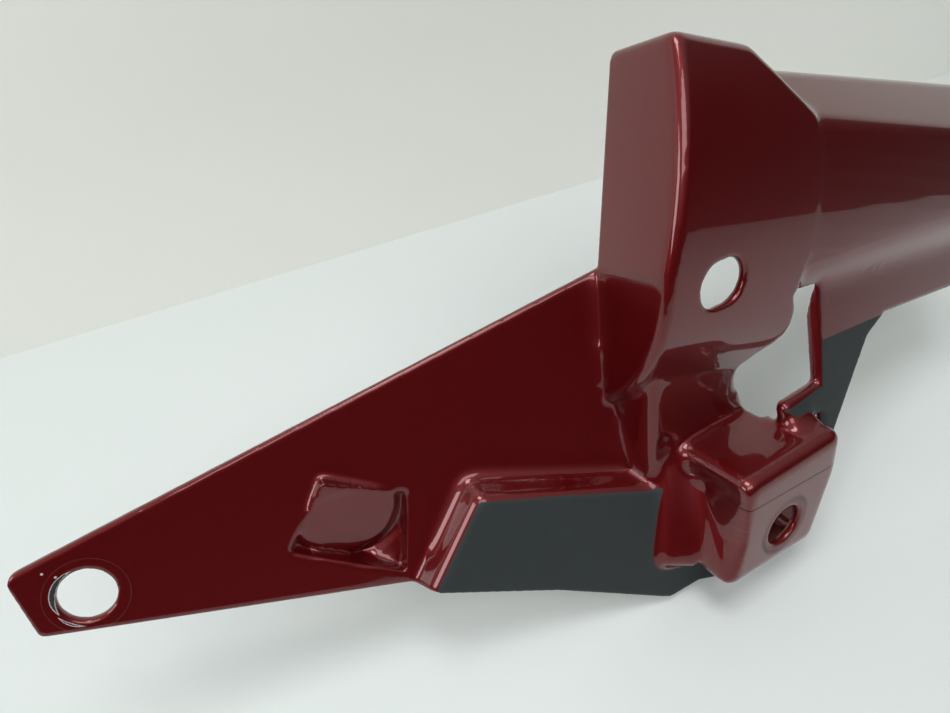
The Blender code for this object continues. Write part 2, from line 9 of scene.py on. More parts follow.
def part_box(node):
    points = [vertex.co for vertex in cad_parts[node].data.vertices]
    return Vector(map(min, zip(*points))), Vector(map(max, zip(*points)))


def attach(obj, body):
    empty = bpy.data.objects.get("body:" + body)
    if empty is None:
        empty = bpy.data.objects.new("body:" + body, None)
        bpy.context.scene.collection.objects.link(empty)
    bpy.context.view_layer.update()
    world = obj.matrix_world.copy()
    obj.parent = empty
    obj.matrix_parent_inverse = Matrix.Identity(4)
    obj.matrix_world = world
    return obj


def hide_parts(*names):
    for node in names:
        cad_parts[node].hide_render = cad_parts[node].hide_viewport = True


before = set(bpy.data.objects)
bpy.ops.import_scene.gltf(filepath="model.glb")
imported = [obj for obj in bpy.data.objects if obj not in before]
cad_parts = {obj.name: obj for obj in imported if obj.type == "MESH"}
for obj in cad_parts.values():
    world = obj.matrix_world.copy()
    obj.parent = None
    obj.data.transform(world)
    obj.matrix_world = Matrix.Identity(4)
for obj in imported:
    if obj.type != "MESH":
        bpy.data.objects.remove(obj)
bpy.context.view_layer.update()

# Fairing panel
# One injection moulding of 2.8 mm wall, held by the hole in its arm and the hole in its lug.
# The mould leaves every outer corner rounded and every inner corner filled with a fillet. It is
# sprayed a candy red with fine flakes; the masked mating faces show the bare grey plastic.

# Sizes in metres and degrees, in the moulding's own frame: X along the arm, Y inwards, Z up
LEAN_BACK = 28.0                # the moulding stands turned by these two
NOSE_TILT = 17.0
WALL = 0.0028
PAD_CORNERS = ((0.0547, 0.0238), (0.0780, 0.0172), (0.0782, -0.0062), (0.0466, 0.0040))
PAD_MARGIN = 0.005              # how far round the pad the skin is filled less
PAD_FRONT = -0.012
PAD_RIM = 0.0006
PAD_EDGE = 0.0008
PAD_HINGE = (0.0741, 0.0167)
PAD_FALL = (0.0753, -0.2960)    # slope of the pad's floor along X and Z
DISC_PLACE = (0.0621, 0.0129)   # the round end of the pad's floor
DISC_RADIUS = 0.0136
DISC_EDGE = 0.0007
DISC_SLANT = 0.7
DISC_LEAD = 0.002
DISC_FADE = 0.003
RAMP_RISE = 0.45                # share of the pad's depth that its ramp fills
RAMP_WIDTH = 0.0060
GROOVE_DEPTH = 0.0014
GROOVE_WIDTH = 0.0016
FRONT_YAW = 13.0                # the tower's front is turned by this about Z
RAIL_SET_BACK = 0.00015
BOW_PLACE = (0.1342, -0.0317, 0.0960)
BOW_RADIUS = 0.1160
BOW_TOP = 22.0                  # the bow ends at this tilt
CURL_RADIUS = 0.0400
CURL_START = 15.0
CURL_END = 74.0
TAB_HEIGHTS = (0.0500, 0.0530, 0.0550, 0.0570, 0.0596, 0.0634, 0.0680, 0.0710)
TAB_RIM = (0.1772, 0.1781, 0.1788, 0.1794, 0.1833, 0.1853, 0.1860, 0.1860)
TAB_CURVE = (0.1782, 0.1801, 0.1834, 0.1870, 0.1888, 0.1891, 0.1880, 0.1860)
TAB_START = 0.1660              # the tab is drawn out from here to its rim
TAB_MARGIN = 0.0012
TAB_DEPTH = 0.0023
CREASE_DEPTH = 0.0050           # the crease under the curl, which stays sharper
CREASE_TILT = -33.0
CREASE_X = 0.1280
CREASE_END = (0.171, -0.0095, 0.052)
CREASE_END_REACH = 0.009
LUG_CORNER = Vector((0.15709, -0.0080, 0.02673))
LUG_ACROSS = Vector((0.9426, 0.1639, 0.2909))
LUG_OUT = Vector((0.2291, -0.9513, -0.2063))
LUG_UP = Vector((-0.2429, -0.2611, 0.9343))
PLATEAU_Y = -0.0080
BEAD_FOOT = (0.1565, -0.0120, -0.0080)
BEAD_HEAD = (0.1565, -0.0120, 0.0210)
BEAD_REACH = 0.0072
BEAD_X = (0.1500, 0.1680)
BEAD_Z = (-0.0140, 0.0300)
BEAD_OFF_LUG = -0.0002
BEAD_FADE = (-0.0120, 0.0250)   # the bead sinks into the neck between these heights
BEAD_FRONT = -0.0078
BEAD_SIDE = 0.0012
# Hollows that are filled further: the two ends of a line, and its reach
FILLED_UP = (((0.1685, -0.0130, -0.0100), (0.1600, -0.0120, 0.0180), 0.0085),
             ((0.1990, -0.0165, 0.0358), (0.2030, -0.0150, 0.0338), 0.0070),
             ((0.1540, -0.0078, 0.0275), (0.1555, -0.0078, 0.0315), 0.0070))
# Corners that are evened out further: a place, and its reach
SOFT_SPOTS = ((0.1925, -0.0150, 0.0330, 0.0075), (0.1480, -0.0085, 0.0165, 0.0045),
              (0.1700, -0.0090, 0.0415, 0.0070), (0.1770, -0.0075, 0.0440, 0.0050),
              (0.1640, -0.0095, 0.0390, 0.0050), (0.1826, -0.0205, 0.0715, 0.0030))

GRID = 0.00046                  # spacing of the fine skin
FIRST_PASSES = 3
FILLET_PASSES = 150             # how far inner corners fill up
PAD_PASSES = 12                 # the same on the small pad of the arm and in the crease
FACING_EVERY = 15               # passes after which the skin's directions are taken anew
FILL_ROUNDS = 8
FILL_PASSES = 40
BEAD_PASSES = 110
SPOT_PASSES = 70
ROUND_PASSES = 12               # how far outer corners wear down
GIVE_BACK = 0.52                # each of them is undone by this, which keeps the wall
EVEN_PASSES = 8
LAST_PASSES = 5
SNAP_REACH = 0.00014            # points this near to the true curve are set on it
SNAP_FADE = 0.00006
SQUARE_FROM = 0.96
SQUARE_FADE = 0.03
SKIN_SHARE = 0.195              # share of the fine faces that is kept


def fine_mesh(source, turn_back):
    """A closed mesh of small even faces over a solid, turned back to its moulding frame."""
    merged = bmesh.new()
    merged.from_mesh(source.data)
    bmesh.ops.transform(merged, matrix=turn_back @ source.matrix_world, verts=merged.verts)
    bmesh.ops.remove_doubles(merged, verts=merged.verts, dist=1e-6)
    solid = bpy.data.meshes.new("solid")
    merged.to_mesh(solid)
    merged.free()
    holder = bpy.data.objects.new("holder", solid)
    bpy.context.scene.collection.objects.link(holder)
    step = holder.modifiers.new("fine", 'REMESH')
    step.mode = 'VOXEL'
    step.voxel_size = GRID
    step.adaptivity = 0.0
    seen = holder.evaluated_get(bpy.context.evaluated_depsgraph_get())
    made = bpy.data.meshes.new_from_object(seen)
    bpy.data.objects.remove(holder, do_unlink=True)
    return made


def towards_neighbours(points, ends, degree):
    """How far each point lies from the middle of its neighbours."""
    middle = np.empty_like(points)
    for axis in range(3):
        middle[:, axis] = np.bincount(ends[:, 0], points[ends[:, 1], axis], len(points))
        middle[:, axis] += np.bincount(ends[:, 1], points[ends[:, 0], axis], len(points))
    return middle / degree[:, None] - points


def outward(points, corners):
    """Direction square to the skin at each point."""
    square = np.cross(points[corners[:, 2]] - points[corners[:, 0]],
                      points[corners[:, 3]] - points[corners[:, 1]])
    total = np.zeros_like(points)
    for axis in range(3):
        for corner in range(4):
            total[:, axis] += np.bincount(corners[:, corner], square[:, axis], len(points))
    return total / np.linalg.norm(total, axis=1)[:, None]


def on_cylinder(points, facing, centre, radius, low, high, level):
    """Points that lie on a facetted bow and face along its radius, set on the true curve."""
    upright = np.array((0.0, 0.0, 1.0))
    offset = points - centre
    along_level = offset @ level
    along_up = offset @ upright
    distance = np.hypot(along_level, along_up)
    tilt = np.degrees(np.arctan2(along_up, along_level))
    radial = (np.outer(along_level, level) + np.outer(along_up, upright)) / distance[:, None]
    squareness = np.abs(np.einsum("ij,ij->i", facing, radial))
    squareness = np.clip((squareness - SQUARE_FROM) / SQUARE_FADE, 0.0, 1.0)
    inside = (tilt >= low) & (tilt <= high)
    for depth in (0.0, WALL, RAIL_SET_BACK, RAIL_SET_BACK + WALL):
        gap = (radius - depth) - distance
        share = np.clip((SNAP_REACH - np.abs(gap)) / SNAP_FADE, 0.0, 1.0) * inside * squareness
        inside = inside & (share == 0.0)
        shift = gap * share / distance
        points = points + np.outer(along_level * shift, level) + np.outer(along_up * shift, upright)
    return points


def from_axis(points, centre, level):
    """Distance of points from a level axis, and their tilt about it."""
    offset = points - centre
    tilt = np.degrees(np.arctan2(offset[:, 2], offset @ level))
    return np.hypot(offset @ level, offset[:, 2]), tilt


def near_line(points, start, end, reach):
    """1 beside a line from start to end, falling to 0 at its reach."""
    start, way = np.array(start), np.array(end) - np.array(start)
    share = np.clip((points - start) @ way / (way @ way), 0.0, 1.0)
    away = np.linalg.norm(points - start - np.outer(share, way), axis=1)
    return np.clip(2.0 - 2.0 * away / reach, 0.0, 1.0)


def softened(points, ends, share, passes, facing=None):
    """Points evened out where a share is set; with a facing, only hollows fill up."""
    local = ends[(share[ends] > 0.0).any(axis=1)]
    names, local = np.unique(local, return_inverse=True)
    local = local.reshape(-1, 2)
    part = points[names]
    number = np.bincount(local.ravel(), minlength=len(names)).astype(float)
    amount = 0.5 * share[names][:, None]
    for i in range(passes):
        step = towards_neighbours(part, local, number)
        if facing is not None:
            rise = np.maximum(np.einsum("ij,ij->i", step, facing[names]), 0.0)
            step = facing[names] * rise[:, None]
        part = part + amount * step
    points[names] = part
    return points


solid_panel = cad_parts["fairing_panel"]
attitude = (Matrix.Rotation(math.radians(-LEAN_BACK), 3, 'X')
            @ Matrix.Rotation(math.radians(NOSE_TILT), 3, 'Y'))
skin = fine_mesh(solid_panel, attitude.inverted().to_4x4())
count = len(skin.vertices)
points = np.empty(count * 3)
skin.vertices.foreach_get("co", points)
points = points.reshape(-1, 3)
ends = np.empty(len(skin.edges) * 2, dtype=np.int64)
skin.edges.foreach_get("vertices", ends)
ends = ends.reshape(-1, 2)
corners = np.empty(len(skin.loops), dtype=np.int64)
skin.loops.foreach_get("vertex_index", corners)
corners = corners.reshape(-1, 4)
degree = np.bincount(ends.ravel(), minlength=count).astype(float)

# The pad: its ground rises to a ramp below the round floor, with a groove between the two
inside_pad = np.full(count, 1.0)
for (x_from, z_from), (x_to, z_to) in zip(PAD_CORNERS, PAD_CORNERS[1:] + PAD_CORNERS[:1]):
    side = np.array((x_to - x_from, z_to - z_from)) / math.hypot(x_to - x_from, z_to - z_from)
    beside = (points[:, 0] - x_from) * side[1] - (points[:, 2] - z_from) * side[0]
    inside_pad = np.minimum(inside_pad, beside)
near_pad = (inside_pad > -PAD_MARGIN) & (points[:, 1] > PAD_FRONT)
off_disc = np.hypot(points[:, 0] - DISC_PLACE[0], points[:, 2] - DISC_PLACE[1]) - DISC_RADIUS
below_disc = points[:, 0] - DISC_PLACE[0] - points[:, 2] + DISC_PLACE[1]
below_disc = DISC_SLANT * below_disc + DISC_LEAD
below_disc = np.clip(below_disc / DISC_FADE, 0.0, 1.0) * near_pad
floor = (PAD_FALL[0] * (points[:, 0] - PAD_HINGE[0])
         + PAD_FALL[1] * (points[:, 2] - PAD_HINGE[1]))
ramp = RAMP_RISE * np.clip((off_disc - GROOVE_WIDTH) / RAMP_WIDTH, 0.0, 1.0) * below_disc
outer_side = (inside_pad > -PAD_RIM) & (points[:, 1] < floor + 0.5 * WALL)
base = np.where(outer_side, 0.0, WALL)
raised = base + (points[:, 1] - base) * (1.0 - ramp)
points[:, 1] = np.where(points[:, 1] > base, raised, points[:, 1])
groove = np.clip(inside_pad / PAD_EDGE, 0.0, 1.0) * np.clip(off_disc / DISC_EDGE, 0.0, 1.0)
groove *= np.clip((2.0 * GROOVE_WIDTH - off_disc) / GROOVE_WIDTH, 0.0, 1.0) * below_disc
points[:, 1] += GROOVE_DEPTH * groove

# The tab: its rim at the window is drawn out to a curve
yaw = math.radians(FRONT_YAW)
curl_tilt = math.radians(CURL_START)
level = np.array((math.sin(yaw), -math.cos(yaw), 0.0))
start_tilt = level * math.cos(curl_tilt) - np.array((0.0, 0.0, math.sin(curl_tilt)))
bow_centre = np.array(BOW_PLACE) - level * BOW_RADIUS
curl_centre = bow_centre + start_tilt * (BOW_RADIUS - CURL_RADIUS)
reach, tilt = from_axis(points, bow_centre, level)
in_wall = (np.abs(reach - BOW_RADIUS + 0.5 * WALL) < TAB_DEPTH) & (tilt > -CURL_START)
reach, tilt = from_axis(points, curl_centre, level)
in_wall |= (np.abs(reach - CURL_RADIUS + 0.5 * WALL) < TAB_DEPTH) & (tilt <= -CURL_START)
rim = np.interp(points[:, 2], TAB_HEIGHTS, TAB_RIM)
in_wall &= (points[:, 2] > TAB_HEIGHTS[0]) & (points[:, 2] < TAB_HEIGHTS[-1])
in_wall &= points[:, 0] < rim + TAB_MARGIN
along = np.clip((points[:, 0] - TAB_START) / (rim - TAB_START), 0.0, 1.0) ** 2
shift = (np.interp(points[:, 2], TAB_HEIGHTS, TAB_CURVE) - rim) * along * in_wall
points[:, 0] += shift
points[:, 1] += shift * math.tan(yaw)
under_curl = (np.abs(reach - CURL_RADIUS) < CREASE_DEPTH) & (tilt < CREASE_TILT)
under_curl &= points[:, 0] > CREASE_X
under_curl |= np.linalg.norm(points - np.array(CREASE_END), axis=1) < CREASE_END_REACH

# The bead beside the lug: it sinks into the neck
beside_lug_wall = (points - np.array(LUG_CORNER)) @ np.array(LUG_ACROSS)
on_bead = (beside_lug_wall < BEAD_OFF_LUG) & (points[:, 1] < PLATEAU_Y)
on_bead &= (points[:, 0] > BEAD_X[0]) & (points[:, 0] < BEAD_X[1])
on_bead &= (points[:, 2] > BEAD_Z[0]) & (points[:, 2] < BEAD_Z[1])
lower = np.interp(points[:, 2], BEAD_FADE, (1.0, 0.0))
sunk = PLATEAU_Y + (points[:, 1] - PLATEAU_Y) * lower
points[:, 1] = np.where(on_bead, sunk, points[:, 1])

# Where the skin is filled or evened out further
bead_share = near_line(points, BEAD_FOOT, BEAD_HEAD, BEAD_REACH)
bead_share *= np.clip(1.0 - beside_lug_wall / BEAD_SIDE, 0.0, 1.0)
bead_share *= points[:, 1] < BEAD_FRONT
blend_share = np.max([near_line(points, *line) for line in FILLED_UP], axis=0)
spot_share = np.zeros(count)
for x, y, z, spot_reach in SOFT_SPOTS:
    away = np.linalg.norm(points - np.array((x, y, z)), axis=1)
    spot_share = np.maximum(spot_share, np.clip(2.0 - 2.0 * away / spot_reach, 0.0, 1.0))

# Smoothing: fillets first, then the local fills, then the rounding of outer corners
for i in range(FIRST_PASSES):
    points += 0.5 * towards_neighbours(points, ends, degree)
for i in range(FILLET_PASSES):
    if i % FACING_EVERY == 0:
        facing = outward(points, corners)
    if i == PAD_PASSES:
        facing_share = 0.5 * (1.0 - (near_pad | under_curl))
    inwards = np.einsum("ij,ij->i", towards_neighbours(points, ends, degree), facing)
    share = 0.5 if i < PAD_PASSES else facing_share
    points += facing * (share * np.maximum(inwards, 0.0))[:, None]
for i in range(FILL_ROUNDS):
    points = softened(points, ends, blend_share, FILL_PASSES, outward(points, corners))
points = softened(points, ends, bead_share, BEAD_PASSES)
points = softened(points, ends, spot_share, SPOT_PASSES)
for i in range(ROUND_PASSES):
    points += 0.5 * towards_neighbours(points, ends, degree)
    points -= GIVE_BACK * towards_neighbours(points, ends, degree)
for i in range(EVEN_PASSES):
    points += 0.5 * towards_neighbours(points, ends, degree)

facing = outward(points, corners)
points = on_cylinder(points, facing, bow_centre, BOW_RADIUS, -CURL_START, BOW_TOP, level)
points = on_cylinder(points, facing, curl_centre, CURL_RADIUS, -CURL_END, -CURL_START, level)
points = points @ np.array(attitude).T
for i in range(LAST_PASSES):
    points += 0.5 * towards_neighbours(points, ends, degree)

skin.vertices.foreach_set("co", points.ravel())
skin.update()
skin.shade_smooth()
dense = bpy.data.objects.new("dense", skin)
bpy.context.scene.collection.objects.link(dense)
lighter = bpy.data.objects.new("lighter", skin.copy())
bpy.context.scene.collection.objects.link(lighter)
fewer = lighter.modifiers.new("fewer", 'DECIMATE')
fewer.ratio = SKIN_SHARE
normals = lighter.modifiers.new("normals", 'DATA_TRANSFER')
normals.object = dense
normals.use_loop_data = True
normals.data_types_loops = {'CUSTOM_NORMAL'}
normals.loop_mapping = 'POLYINTERP_NEAREST'
seen = lighter.evaluated_get(bpy.context.evaluated_depsgraph_get())
finished = bpy.data.meshes.new_from_object(seen)
finished.name = "fairing_skin"
for spare in (dense, lighter):
    bpy.data.objects.remove(spare, do_unlink=True)

# Paint, bare plastic and wear: colours and sizes
PAINT_RED = (0.130, 0.0018, 0.0034, 1.0)
BARE_GREY = (0.026, 0.032, 0.032, 1.0)
SCUFF_PALE = (0.52, 0.47, 0.45, 1.0)
SCUFF_GREY = (0.060, 0.048, 0.040, 1.0)
LINE_DARK = (0.030, 0.004, 0.005, 1.0)
FLAKE_SCALE = 2600.0
PAINT_ROUGH = 0.40
BARE_ROUGHER = 0.14
PAINT_METAL = 0.62
MASK_EDGE = 0.00012
PLATEAU_DEPTH = 0.0006
PLATEAU_MASK = (((0.0838, -0.0077), (0.0929, 0.0155)), ((0.0929, 0.0155), (0.1535, 0.0134)))
PLATE_SQUARE = (0.2239, -0.9695, 0.0916)
PLATE_LEVEL = 0.06345
PLATE_DEPTH = 0.0011
PLATE_TOP = ((0.2366, 0.0635), (0.2014, 0.0569))
PLATE_RIM = (((0.2035, 0.0431), (0.2020, 0.0600)), ((0.1858, 0.0373), (0.2035, 0.0431)))
PLATE_FOOT = ((0.1858, 0.0373), (0.2088, 0.0284))
PLATE_OFF_LUG = 0.0008
LUG_SIDE = 0.0412
LUG_FACE = 0.0240
LUG_HOLE = (0.0180, -0.0239)    # its middle across and up from the lug's corner
ARM_DEPTH = 0.0007
# Crescents round the arm's hole: radius, middle angle, reach in degrees and half width
WORN_THROUGH = (0.0073, 164.0, 45.0, 0.00055)
NICKED = (0.0078, 240.0, 24.0, 0.00034)
WEAR_EDGE = 0.00008
PALE_RIM = 0.00016
RAGGED = 0.0005
# Chips: X, Z and radius
CHIPS = ((-0.0174, 0.0041, 0.0004), (-0.0088, 0.0069, 0.0003), (-0.0061, 0.0057, 0.0003),
         (0.0035, 0.0053, 0.0005))
ARM_PRINT = 0.0095              # radii of the rings that washers left
LUG_PRINT = 0.0093
RUBBED_RADIUS = 0.0092
SCUFF_RADIUS = 0.0095
SCUFF_WIDTH = 0.0010
SCUFF_LOWER = 0.0095
SCUFF_UPPER = 0.0115
LINE_START = -0.0089            # height of the mould's line, and its fall across the lug
LINE_FALL = -0.077
LINE_WIDTH = 0.00018
LINE_FRONT = 0.0190
LINE_LUG_SIDE = -0.0005
LINE_END = 0.0400

paint = bpy.data.materials.new("candy_paint")
paint.use_nodes = True
tree = paint.node_tree
shader = tree.nodes["Principled BSDF"]


def node(kind, **settings):
    """A new node of the paint with its settings."""
    made = tree.nodes.new(kind)
    for key, value in settings.items():
        setattr(made, key, value)
    return made


def math_node(operation, first, second=None, third=None):
    """Result of one sum on sockets or numbers."""
    made = node("ShaderNodeMath", operation=operation)
    for slot, value in zip(made.inputs, (first, second, third)):
        if value is None:
            continue
        if isinstance(value, (int, float)):
            slot.default_value = value
        else:
            tree.links.new(value, slot)
    return made.outputs[0]


def past_line(direction, offset):
    """Signed distance past a plane in the moulding's own frame, in metres."""
    made = node("ShaderNodeVectorMath", operation='DOT_PRODUCT')
    tree.links.new(place, made.inputs[0])
    made.inputs[1].default_value = direction
    return math_node('SUBTRACT', made.outputs["Value"], offset)


def past_edge(start, end):
    """Signed distance to the right of the way from start to end, seen from the front."""
    way = (Vector(end) - Vector(start)).normalized()
    direction = Vector((way.y, 0.0, -way.x))
    return past_line(direction, direction.x * start[0] + direction.z * start[1])


def crisp(distance, width):
    """1 where a distance is below zero, 0 where it is above, over a short width."""
    made = node("ShaderNodeMapRange", interpolation_type='SMOOTHSTEP')
    tree.links.new(distance, made.inputs["Value"])
    made.inputs["From Min"].default_value = -width
    made.inputs["From Max"].default_value = width
    made.inputs["To Min"].default_value = 1.0
    made.inputs["To Max"].default_value = 0.0
    return made.outputs["Result"]


def blended(factor, first, second):
    """One colour over another by a factor."""
    made = node("ShaderNodeMix", data_type='RGBA')
    tree.links.new(factor, made.inputs["Factor"])
    for slot, value in ((made.inputs[6], first), (made.inputs[7], second)):
        if isinstance(value, tuple):
            slot.default_value = value
        else:
            tree.links.new(value, slot)
    return made.outputs[2]


def noise(scale, detail, rough):
    """Noise in the moulding's own frame."""
    made = node("ShaderNodeTexNoise")
    tree.links.new(place, made.inputs["Vector"])
    made.inputs["Scale"].default_value = scale
    made.inputs["Detail"].default_value = detail
    made.inputs["Roughness"].default_value = rough
    return made.outputs["Fac"]


def length_of(first, second):
    """Length of a pair of offsets at right angles."""
    pair = node("ShaderNodeCombineXYZ")
    tree.links.new(first, pair.inputs[0])
    tree.links.new(second, pair.inputs[1])
    made = node("ShaderNodeVectorMath", operation='LENGTH')
    tree.links.new(pair.outputs["Vector"], made.inputs[0])
    return made.outputs["Value"]


def ring_gap(radius, middle, reach, half_width):
    """Distance to a crescent round the arm's hole, with a ragged edge."""
    angle = math.radians(middle)
    along = past_line((math.cos(angle), 0.0, math.sin(angle)), 0.0)
    beside = past_line((-math.sin(angle), 0.0, math.cos(angle)), 0.0)
    turned_by = math_node('DIVIDE', math_node('ARCTAN2', beside, along), math.radians(reach))
    narrowing = math_node('SUBTRACT', 1.0, math_node('MULTIPLY', turned_by, turned_by))
    width = math_node('MULTIPLY', narrowing, half_width)
    gap = math_node('ABSOLUTE', math_node('SUBTRACT', length_of(along, beside), radius))
    ragged = math_node('MULTIPLY_ADD', grain, RAGGED, -0.5 * RAGGED)
    return math_node('ADD', math_node('SUBTRACT', gap, width), ragged)


def beyond(value, half_width):
    """How far a signed distance lies outside a band round zero."""
    return math_node('SUBTRACT', math_node('ABSOLUTE', value), half_width)


def all_of(operation, first, *rest):
    """Several sockets joined one after another by one operation."""
    for value in rest:
        first = math_node(operation, first, value)
    return first


def scaled_colour(colour, amount):
    """A colour made brighter or darker by a socket."""
    made = node("ShaderNodeVectorMath", operation='SCALE')
    made.inputs[0].default_value = colour[:3]
    tree.links.new(amount, made.inputs["Scale"])
    return made.outputs["Vector"]


coordinates = node("ShaderNodeTexCoord")
turn = node("ShaderNodeMapping")
turn.inputs["Rotation"].default_value = (math.radians(LEAN_BACK), math.radians(-NOSE_TILT), 0.0)
tree.links.new(coordinates.outputs["Object"], turn.inputs["Vector"])
place = turn.outputs["Vector"]
across = past_line(LUG_ACROSS, LUG_CORNER.dot(LUG_ACROSS))
out = past_line(LUG_OUT, LUG_CORNER.dot(LUG_OUT))
up = past_line(LUG_UP, LUG_CORNER.dot(LUG_UP))
grain = noise(2400.0, 3.0, 0.5)
cloud = noise(140.0, 4.0, 0.6)

# Bare faces of the plateau and of the side plate
plateau_zone = beyond(past_line((0.0, -1.0, 0.0), -PLATEAU_Y), PLATEAU_DEPTH)
for start, end in PLATEAU_MASK:
    inner_side = math_node('MULTIPLY', past_edge(start, end), -1.0)
    plateau_zone = math_node('MAXIMUM', plateau_zone, inner_side)
plate_zone = beyond(past_line(PLATE_SQUARE, PLATE_LEVEL), PLATE_DEPTH)
rim_sides = math_node('MAXIMUM', past_edge(*PLATE_RIM[0]), past_edge(*PLATE_RIM[1]))
beside_lug = math_node('MINIMUM', math_node('SUBTRACT', PLATE_OFF_LUG, up),
                       math_node('SUBTRACT', LUG_SIDE, across))
plate_zone = all_of('MAXIMUM', plate_zone, past_edge(*PLATE_TOP),
                    math_node('MULTIPLY', rim_sides, -1.0), beside_lug, past_edge(*PLATE_FOOT))
bare = math_node('MAXIMUM', crisp(plateau_zone, MASK_EDGE), crisp(plate_zone, MASK_EDGE))

# Wear of the arm: crescents rubbed beside its hole, small chips and a washer's faint print
on_arm = crisp(beyond(past_line((0.0, -1.0, 0.0), 0.0), ARM_DEPTH), 0.0002)
worn = ring_gap(*WORN_THROUGH)
nicked = ring_gap(*NICKED)
pale = math_node('MAXIMUM', crisp(math_node('SUBTRACT', worn, PALE_RIM), WEAR_EDGE),
                 crisp(nicked, WEAR_EDGE))
for x, z, radius in CHIPS:
    spot = length_of(past_line((1.0, 0.0, 0.0), x), past_line((0.0, 0.0, 1.0), z))
    pale = math_node('MAXIMUM', pale, crisp(math_node('SUBTRACT', spot, radius), 0.0001))
pale = math_node('MULTIPLY', pale, on_arm)
dark_scar = math_node('MAXIMUM', crisp(worn, WEAR_EDGE),
                      crisp(math_node('ADD', nicked, PALE_RIM), WEAR_EDGE))
dark_scar = math_node('MULTIPLY', dark_scar, on_arm)
from_hole = length_of(past_line((1.0, 0.0, 0.0), 0.0), past_line((0.0, 0.0, 1.0), 0.0))
arm_print = beyond(math_node('SUBTRACT', from_hole, ARM_PRINT), 0.0001)
arm_print = math_node('MULTIPLY', crisp(arm_print, 0.0001), math_node('MULTIPLY', on_arm, cloud))

# Wear of the lug: a washer's print with scuffs beside it, and the fine line of the mould
on_lug = crisp(math_node('SUBTRACT', LUG_FACE, out), 0.0004)
from_hole = length_of(math_node('SUBTRACT', across, LUG_HOLE[0]),
                      math_node('SUBTRACT', up, LUG_HOLE[1]))
lug_print = crisp(beyond(math_node('SUBTRACT', from_hole, LUG_PRINT), 0.0002), 0.00035)
lug_print = all_of('MULTIPLY', lug_print, on_lug, math_node('MULTIPLY', cloud, 0.9))
lower_left = math_node('SUBTRACT', math_node('ADD', across, up), sum(LUG_HOLE) - SCUFF_LOWER)
upper_right = math_node('SUBTRACT', sum(LUG_HOLE) + SCUFF_UPPER, math_node('ADD', across, up))
lug_scuff = beyond(math_node('SUBTRACT', from_hole, SCUFF_RADIUS), SCUFF_WIDTH)
lug_scuff = crisp(math_node('MULTIPLY_ADD', grain, 0.0012, lug_scuff), 0.0008)
lug_scuff = all_of('MULTIPLY', lug_scuff, on_lug,
                   crisp(math_node('MINIMUM', lower_left, upper_right), 0.0015),
                   math_node('MULTIPLY_ADD', cloud, 1.0, 0.4))
rubbed = crisp(math_node('SUBTRACT', from_hole, RUBBED_RADIUS), 0.0004)
rubbed = math_node('MULTIPLY', rubbed, on_lug)
line_height = math_node('MULTIPLY_ADD', across, LINE_FALL, LINE_START)
mould_line = crisp(beyond(math_node('SUBTRACT', up, line_height), LINE_WIDTH), 0.00012)
line_reach = math_node('MINIMUM', crisp(math_node('SUBTRACT', LINE_FRONT, out), 0.0020),
                       crisp(math_node('SUBTRACT', LINE_LUG_SIDE, across), 0.0015))
line_reach = math_node('MULTIPLY', line_reach,
                       crisp(math_node('SUBTRACT', across, LINE_END), 0.0008))
mould_line = math_node('MULTIPLY', mould_line, line_reach)

# Colour, gloss and fine relief
flake = node("ShaderNodeTexVoronoi")
tree.links.new(place, flake.inputs["Vector"])
flake.inputs["Scale"].default_value = FLAKE_SCALE
flake_tone = node("ShaderNodeMapRange")
tree.links.new(flake.outputs["Distance"], flake_tone.inputs["Value"])
flake_tone.inputs["To Min"].default_value = 1.16
flake_tone.inputs["To Max"].default_value = 0.80
red = scaled_colour(PAINT_RED, flake_tone.outputs["Result"])
grey = scaled_colour(BARE_GREY, math_node('MULTIPLY_ADD', cloud, 0.30, 0.85))
colour = blended(bare, red, grey)
colour = blended(math_node('MAXIMUM', mould_line, lug_print), colour, LINE_DARK)
colour = blended(lug_scuff, colour, SCUFF_GREY)
colour = blended(math_node('MULTIPLY', arm_print, 0.12), colour, SCUFF_PALE)
colour = blended(pale, colour, SCUFF_PALE)
colour = blended(dark_scar, colour, BARE_GREY)
tree.links.new(colour, shader.inputs["Base Color"])
unpainted = all_of('MAXIMUM', bare, pale, dark_scar)
gloss = math_node('MULTIPLY_ADD', unpainted, BARE_ROUGHER, PAINT_ROUGH)
tree.links.new(math_node('MULTIPLY_ADD', rubbed, 0.10, gloss), shader.inputs["Roughness"])
dull = math_node('MAXIMUM', unpainted, lug_scuff)
metal = math_node('MULTIPLY_ADD', dull, -PAINT_METAL, PAINT_METAL)
tree.links.new(metal, shader.inputs["Metallic"])
coat = math_node('SUBTRACT', 1.0, all_of('MAXIMUM', dull, mould_line, lug_print))
tree.links.new(math_node('MULTIPLY_ADD', rubbed, -0.25, coat), shader.inputs["Coat Weight"])
shader.inputs["Coat Roughness"].default_value = 0.035
shader.inputs["Coat IOR"].default_value = 1.5
shader.inputs["Specular IOR Level"].default_value = 0.25
relief = node("ShaderNodeBump")
relief.inputs["Distance"].default_value = 0.0001
relief.inputs["Strength"].default_value = 0.25
tree.links.new(math_node('MULTIPLY', math_node('MULTIPLY_ADD', unpainted, 0.8, 0.2), grain),
               relief.inputs["Height"])
tree.links.new(relief.outputs["Normal"], shader.inputs["Normal"])

finished.materials.clear()
finished.materials.append(paint)
panel = bpy.data.objects.new("fairing_skin", finished)
bpy.context.scene.collection.objects.link(panel)
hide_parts("fairing_panel")
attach(panel, "root")

# Table and wall
# The panel stands on a pale table in front of a pale wall, two flat sheets of the set. The
# wall is one-sided, so that it doesn't hide the panel from behind.

